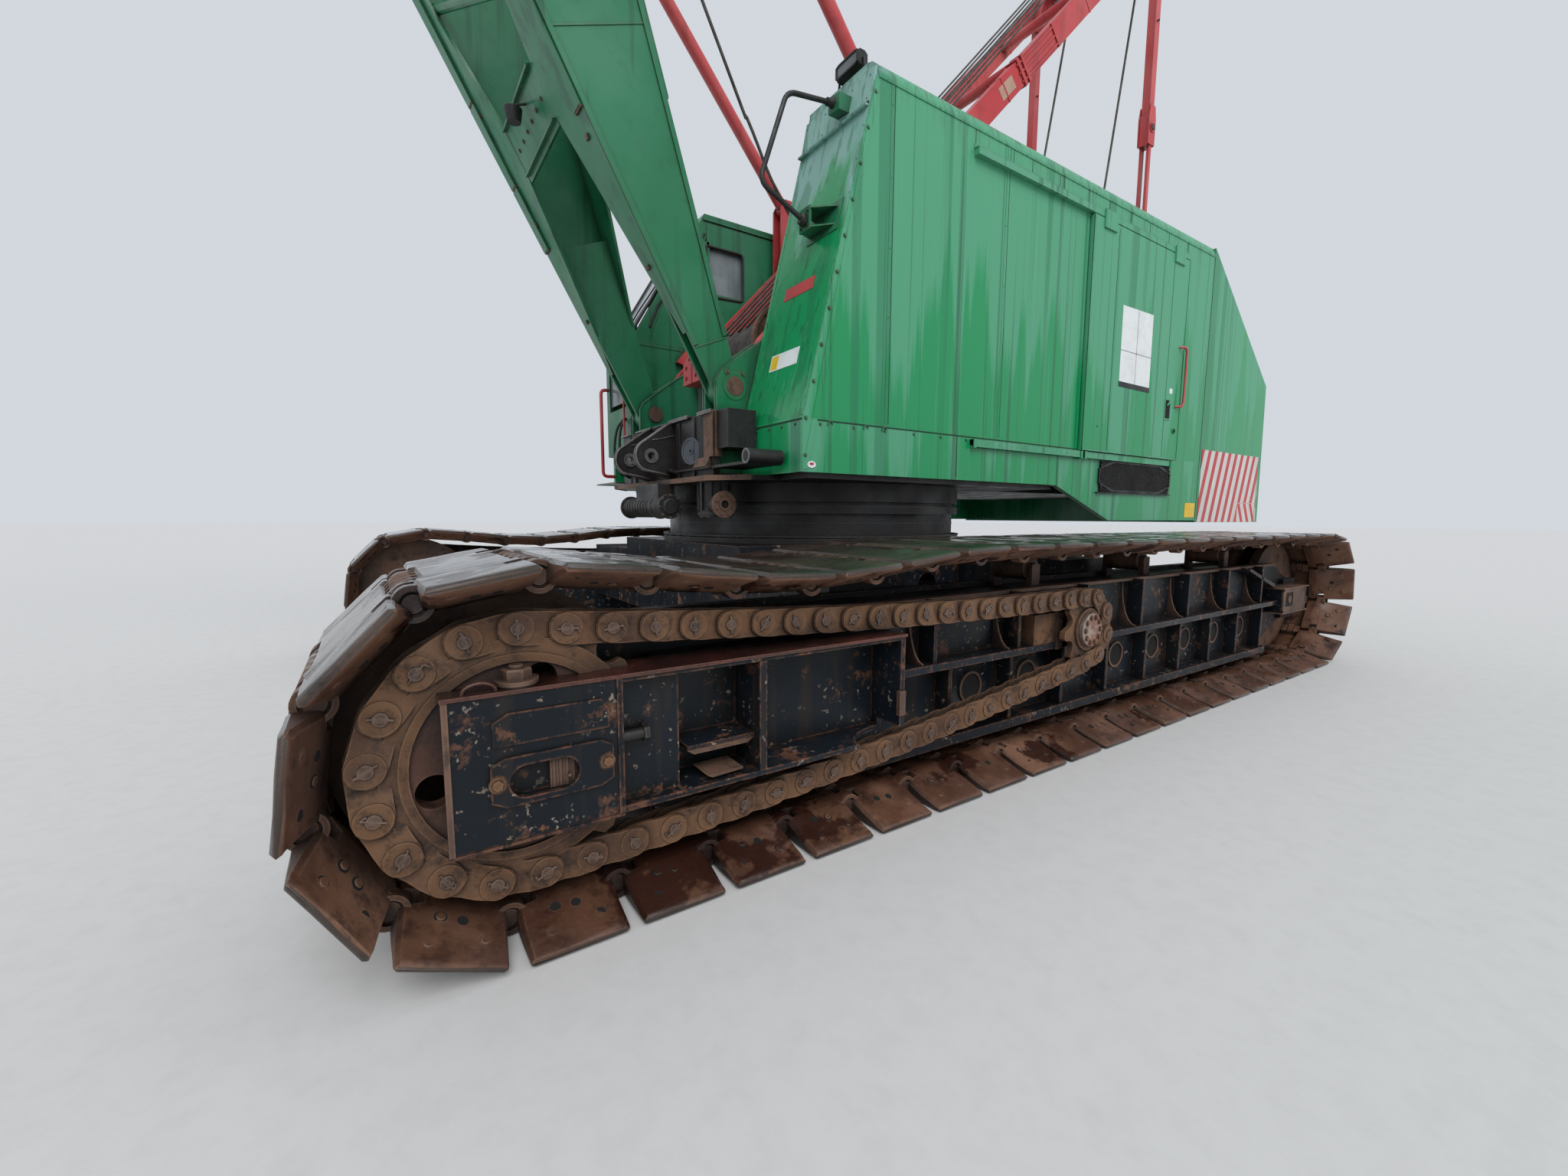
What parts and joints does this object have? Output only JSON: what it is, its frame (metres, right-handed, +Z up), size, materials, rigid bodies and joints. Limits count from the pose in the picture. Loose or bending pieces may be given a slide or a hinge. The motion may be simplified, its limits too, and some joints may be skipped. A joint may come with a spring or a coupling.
{
  "type": "crawler crane",
  "caption": "Crawler crane with a lattice boom, a red gantry with pendants and backstops, a green machinery house, a cab and chain-driven tracks.",
  "frame": {"origin": "on the ground under the slewing axis", "axes": "+X towards the boom, +Y to the machine's left (the near side in the picture), +Z up"},
  "size_m": [15.2368, 6.1, 19.397],
  "materials": {
    "green": "weathered semi-gloss",
    "red": "weathered semi-gloss",
    "navy": "dark, worn to rust at the edges",
    "black": "satin",
    "rust": "rusty and wet",
    "rope": "greased wire rope",
    "glass": "clear",
    "trim": "matt"
  },
  "bodies": {
    "undercarriage": {"carbody": "navy", "slewing_base": "black", "side_frame_left": "navy", "side_frame_right": "navy", "chain_bracket_left": "navy", "chain_bracket_right": "navy", "track_left": "rust", "track_right": "rust", "drive_drum_left": "rust", "drive_drum_right": "rust", "idler_drum_left": "rust", "idler_drum_right": "rust", "rollers_left": "rust", "rollers_right": "rust", "drive_sprocket_left": "rust", "drive_sprocket_right": "rust", "drive_chain_left": "rust", "drive_chain_right": "rust", "small_sprockets": "rust"},
    "upperworks": {"revolving_frame": "black", "foot_lugs": "green", "nose_frame": "black", "swing_gear": "black", "house_left": "green", "house_front_left": "green", "house_right": "green", "house_roof": "green", "counterweight": "green", "side_grille": "black", "engine": "black", "gantry_legs": "red", "gantry_straps": "red", "gantry_head": "red", "foot_pins": "rust", "mirror_arm": "black", "roof_lamp": "trim", "cab_shell": "green", "cab_glass": "glass", "cab_seat": "trim", "door_rail": "green"},
    "boom": {"boom_butt": "green", "boom_top": "green"},
    "house_door": {"house_door": "green"},
    "cab_door": {"cab_door": "green"},
    "hoist_drum": {"hoist_drum": "rust"},
    "head_sheaves": {"head_sheaves": "rust"},
    "tip_sheaves": {"tip_sheaves": "rust"},
    "hook_block": {"hook_block": "red"},
    "pendants": {"pendants": "rope"},
    "hoist_falls": {"hoist_falls": "rope"},
    "backstop_tubes": {"backstop_tubes": "red"},
    "backstop_rods": {"backstop_rods": "red"}
  },
  "joints": [
    {"name": "slew", "type": "hinge", "parent": "undercarriage", "child": "upperworks", "pos_m": [0, 0, 1.5], "axis": [0, 0, 1], "continuous": true},
    {"name": "boom_luff", "type": "hinge", "parent": "upperworks", "child": "boom", "pos_m": [1.32, 0, 2.33], "axis": [0, -1, 0], "range_deg": [-37, 13]},
    {"name": "pendant_hinge", "type": "hinge", "parent": "boom", "child": "pendants", "pos_m": [8.108, 0, 19.1661], "axis": [0, -1, 0], "range_deg": [-1.5, 4]},
    {"name": "falls_hinge", "type": "hinge", "parent": "upperworks", "child": "hoist_falls", "pos_m": [-4.42, 0, 8.3], "axis": [0, -1, 0], "range_deg": [-34, 12]},
    {"name": "backstop_hinge", "type": "hinge", "parent": "upperworks", "child": "backstop_tubes", "pos_m": [-0.2, 0, 4.57], "axis": [0, -1, 0], "range_deg": [-38, 14]},
    {"name": "backstop_slide", "type": "slide", "parent": "backstop_tubes", "child": "backstop_rods", "axis": [0.662, 0, 0.7495], "range_m": [-0.6, 1.71]},
    {"name": "hook_swing", "type": "hinge", "parent": "boom", "child": "hook_block", "pos_m": [8.65448, 0, 19.09709], "axis": [0, -1, 0], "range_deg": [-13.5, 37.5]},
    {"name": "tip_sheave_spin", "type": "hinge", "parent": "boom", "child": "tip_sheaves", "pos_m": [8.65448, 0, 19.09709], "axis": [0, -1, 0], "continuous": true},
    {"name": "head_sheave_spin", "type": "hinge", "parent": "upperworks", "child": "head_sheaves", "pos_m": [-4.42, 0, 8.3], "axis": [0, -1, 0], "continuous": true},
    {"name": "hoist_drum_spin", "type": "hinge", "parent": "upperworks", "child": "hoist_drum", "pos_m": [0.62, 0, 2.78], "axis": [0, -1, 0], "continuous": true},
    {"name": "house_door_slide", "type": "slide", "parent": "upperworks", "child": "house_door", "axis": [1, 0, 0], "range_m": [0, 1.5]},
    {"name": "cab_door_hinge", "type": "hinge", "parent": "upperworks", "child": "cab_door", "pos_m": [-0.2, -1.661, 3.1], "axis": [0, 0, -1], "range_deg": [0, 100]}
  ],
  "couplings": [
    {"joint": "pendant_hinge", "follows": "boom_luff", "ratio": -0.1},
    {"joint": "falls_hinge", "follows": "boom_luff", "ratio": 0.9},
    {"joint": "backstop_hinge", "follows": "boom_luff", "ratio": 1.02},
    {"joint": "backstop_slide", "follows": "boom_luff", "m_per_rad": -2.6356},
    {"joint": "hook_swing", "follows": "boom_luff", "ratio": -1}
  ]
}
